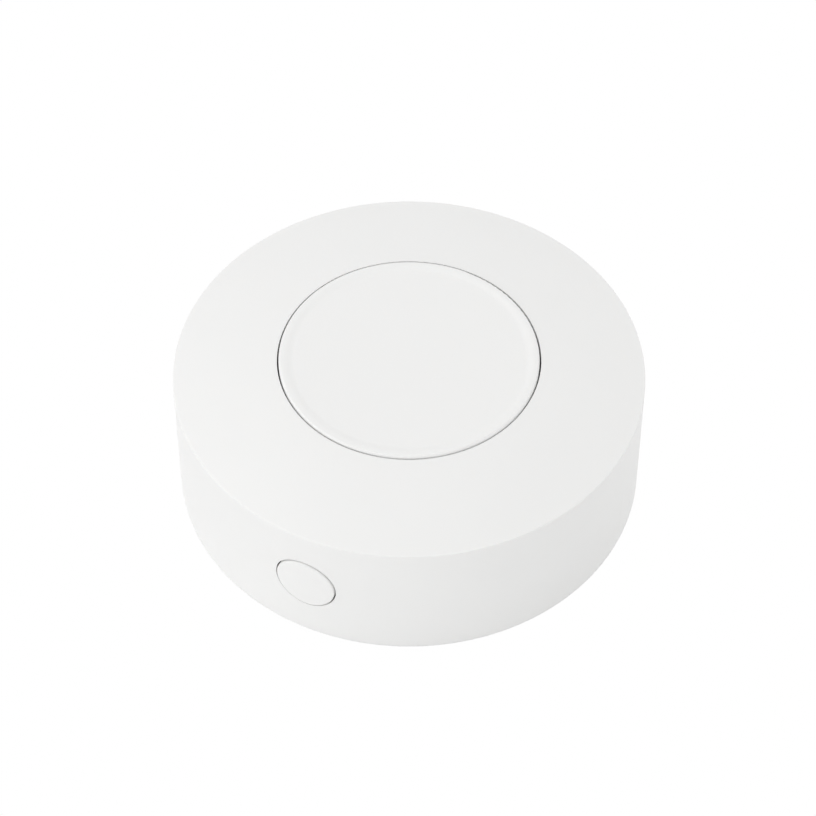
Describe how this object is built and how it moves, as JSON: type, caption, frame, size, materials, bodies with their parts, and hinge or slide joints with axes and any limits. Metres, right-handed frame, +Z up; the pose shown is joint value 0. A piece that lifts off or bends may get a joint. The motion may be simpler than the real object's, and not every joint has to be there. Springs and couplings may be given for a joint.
{
  "type": "smart button",
  "caption": "Round wireless push button with a crowned surround, a broad dished top button, a small side button, a twist-off battery cover and an adhesive ring.",
  "frame": {"origin": "middle of the face that the part rests on, the underside of its adhesive ring", "axes": "+Z up, the way the main button faces; -Y out through the middle of the small side button; +X to the right seen from the side button"},
  "size_m": [0.045, 0.0451, 0.0162],
  "materials": {
    "white_case": "moulded white ABS with a fine satin texture",
    "white_button": "moulded white ABS with a fine satin texture",
    "white_base": "moulded white ABS, plain matte",
    "white_cover": "moulded white ABS, plain matte",
    "foam_tape": "light grey acrylic foam tape",
    "steel_screw": "zinc-plated steel",
    "solder_mask": "green solder mask on glass laminate",
    "module_mask": "blue solder mask on glass laminate",
    "black_moulding": "black glass-filled nylon",
    "white_stem": "moulded white nylon",
    "black_stem": "moulded black nylon",
    "tinned_steel": "tin-plated steel sheet",
    "spring_steel": "nickel-plated spring steel",
    "cell_steel": "rolled stainless steel",
    "cell_seal": "grey polypropylene seal",
    "holder_moulding": "black heat-proof nylon",
    "chip_ceramic": "tan ceramic with tinned ends",
    "resistor_black": "black glazed film on white ceramic",
    "tantalum_case": "yellow moulded case",
    "epoxy_black": "black moulded epoxy",
    "led_clear": "clear moulded lens on a pale body",
    "antenna_gold": "gold-plated copper track"
  },
  "bodies": {
    "case": {"top_housing": "white_case", "base_plate": "white_base", "adhesive_ring": "foam_tape", "case_screws": "steel_screw", "main_board": "solder_mask", "main_switch_body": "black_moulding", "main_switch_cover": "tinned_steel", "main_switch_dome": "spring_steel", "main_switch_terminals": "tinned_steel", "side_switch_body": "black_moulding", "side_switch_cover": "tinned_steel", "side_switch_terminals": "tinned_steel", "radio_module_board": "module_mask", "radio_module_shield": "tinned_steel", "radio_module_antenna": "antenna_gold", "status_led": "led_clear", "bulk_capacitor": "tantalum_case", "chip_capacitors": "chip_ceramic", "chip_resistors": "resistor_black", "polarity_transistor": "epoxy_black", "battery_holder": "holder_moulding", "positive_contacts": "spring_steel", "negative_contact": "spring_steel", "coin_cell_can": "cell_steel", "coin_cell_gasket": "cell_seal", "coin_cell_cap": "cell_steel"},
    "main_button": {"main_button_cap": "white_button"},
    "main_plunger": {"main_switch_stem": "white_stem"},
    "side_button": {"side_button_cap": "white_button"},
    "side_plunger": {"side_switch_stem": "black_stem"},
    "battery_door": {"battery_cover": "white_cover"}
  },
  "joints": [
    {"name": "main_button_press", "type": "slide", "parent": "case", "child": "main_button", "axis": [0, 0, -1], "range_m": [0, 0.0003], "stiffness_N_per_m": 5000, "springref_m": -0.0001, "deforming": ["main_switch_dome"]},
    {"name": "main_plunger_press", "type": "slide", "parent": "case", "child": "main_plunger", "axis": [0, 0, -1], "range_m": [0, 0.0003]},
    {"name": "side_button_press", "type": "slide", "parent": "case", "child": "side_button", "axis": [0, 1, 0], "range_m": [0, 0.00025], "stiffness_N_per_m": 6000, "springref_m": -0.0001},
    {"name": "side_plunger_press", "type": "slide", "parent": "case", "child": "side_plunger", "axis": [0, 1, 0], "range_m": [0, 0.00025]},
    {"name": "battery_cover_turn", "type": "hinge", "parent": "case", "child": "battery_door", "pos_m": [0, 0, 0], "axis": [0, 0, -1], "range_deg": [0, 30]}
  ],
  "couplings": [
    {"joint": "main_plunger_press", "follows": "main_button_press", "ratio": 1},
    {"joint": "side_plunger_press", "follows": "side_button_press", "ratio": 1}
  ]
}
